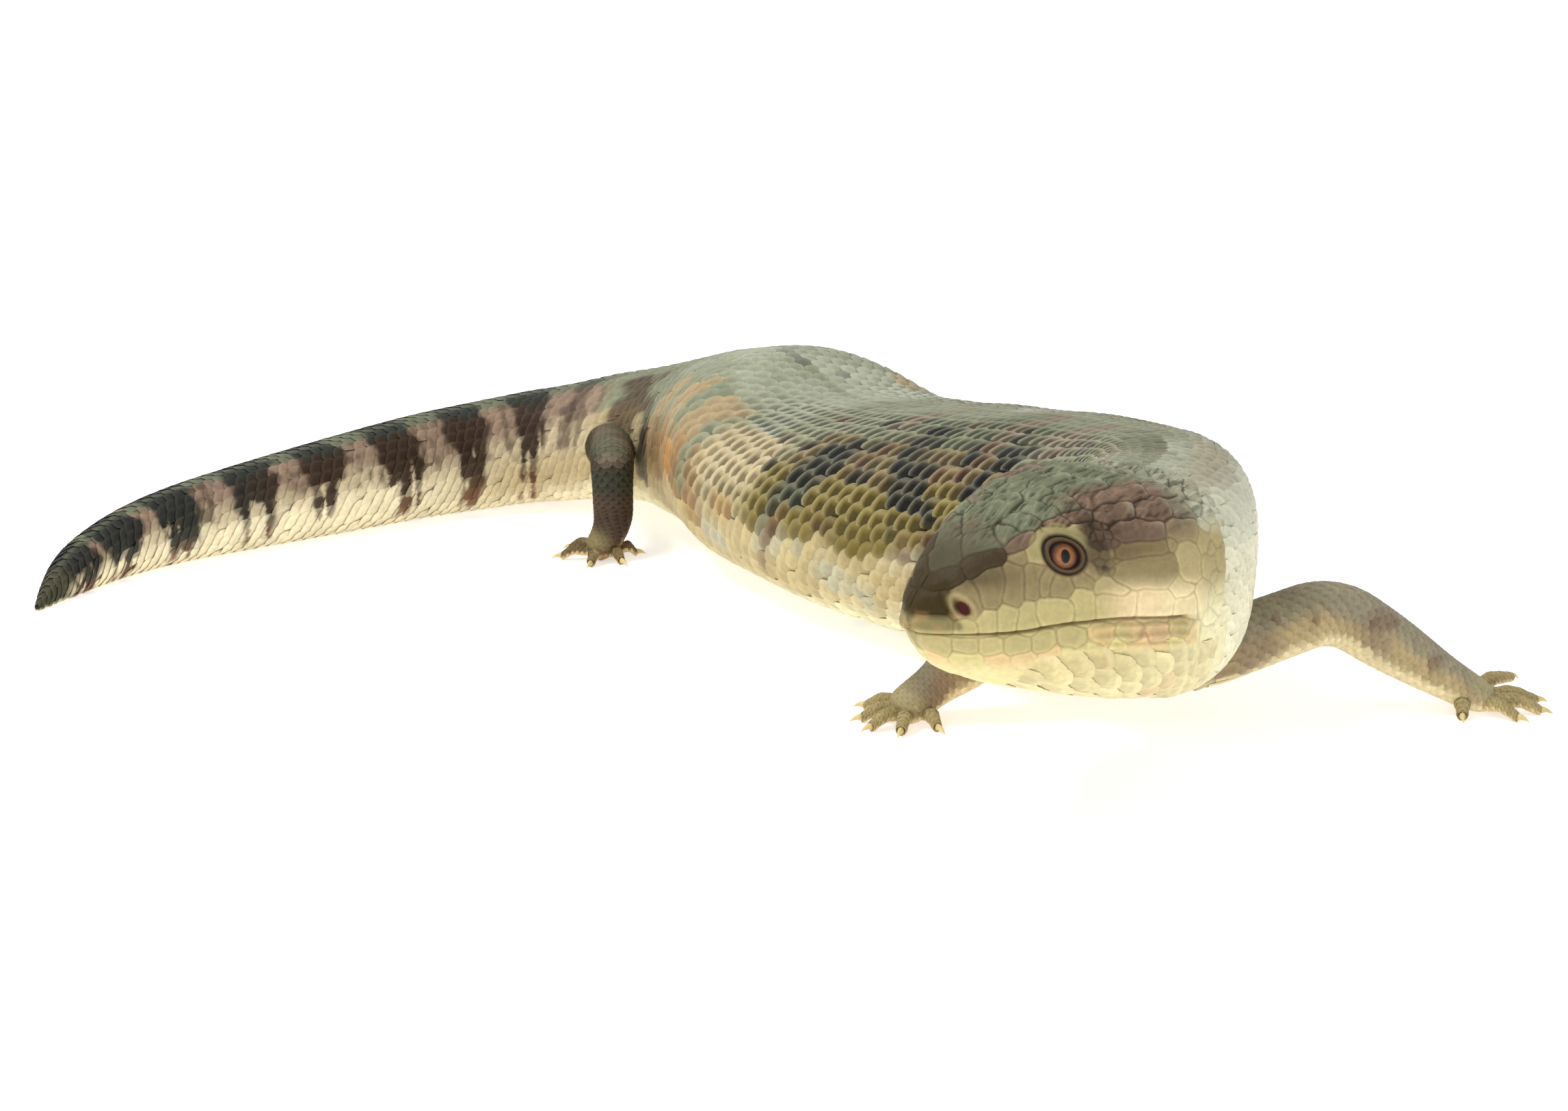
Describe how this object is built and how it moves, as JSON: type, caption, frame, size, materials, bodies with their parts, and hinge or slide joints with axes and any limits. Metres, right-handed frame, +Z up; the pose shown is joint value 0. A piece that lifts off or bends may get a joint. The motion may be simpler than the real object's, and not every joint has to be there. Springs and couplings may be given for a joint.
{
  "type": "blue tongued skink, still life-size model",
  "caption": "Life-size still model of a blue tongued skink resting on its belly, tail curled and head turned to its right, parted into head, jaw, neck, trunk, tail, limbs, eyes and claws.",
  "frame": {"origin": "point on the floor under the middle of the belly", "axes": "+Z up from the floor; +X along the longest side of the curled body, from the tail tip towards the left hand; the head lies towards -Y"},
  "size_m": [0.3349, 0.2858, 0.0598],
  "materials": {
    "back_skin": "smooth overlapping scales, satin, sage grey and olive with blue-black and rust flank bands",
    "tail_skin": "smooth overlapping scales, satin, grey-green above with dark bands, cream below",
    "head_skin": "smooth head shields, satin, sage and mauve brown above, khaki sides",
    "throat_skin": "smooth scales, satin, cream yellow with pink folds",
    "arm_skin": "small smooth scales, satin, sage and mauve above, cream below",
    "leg_skin": "small smooth scales, satin, dark brown",
    "eye": "wet gloss, orange iris and dark pupil",
    "claw": "satin horn, straw yellow"
  },
  "bodies": {
    "root": {"tail_tip": "tail_skin", "tail_middle": "tail_skin", "tail_base": "tail_skin", "trunk_rear": "back_skin", "trunk_middle": "back_skin", "trunk_front": "back_skin", "neck": "back_skin", "head": "head_skin", "lower_jaw": "throat_skin", "left_eye": "eye", "right_eye": "eye", "left_upper_arm": "arm_skin", "left_forearm": "arm_skin", "left_hand": "arm_skin", "left_hand_claw_1": "claw", "left_hand_claw_2": "claw", "left_hand_claw_3": "claw", "left_hand_claw_4": "claw", "left_hand_claw_5": "claw", "right_upper_arm": "arm_skin", "right_forearm": "arm_skin", "right_hand": "arm_skin", "right_hand_claw_1": "claw", "right_hand_claw_2": "claw", "right_hand_claw_3": "claw", "right_hand_claw_4": "claw", "right_hand_claw_5": "claw", "right_thigh": "leg_skin", "right_shank": "leg_skin", "right_foot": "leg_skin", "right_foot_claw_1": "claw", "right_foot_claw_2": "claw", "right_foot_claw_3": "claw", "right_foot_claw_4": "claw", "right_foot_claw_5": "claw", "left_thigh": "leg_skin", "left_shank": "leg_skin", "left_foot": "leg_skin", "left_foot_claw_1": "claw", "left_foot_claw_2": "claw", "left_foot_claw_3": "claw", "left_foot_claw_4": "claw", "left_foot_claw_5": "claw"}
  },
  "joints": []
}
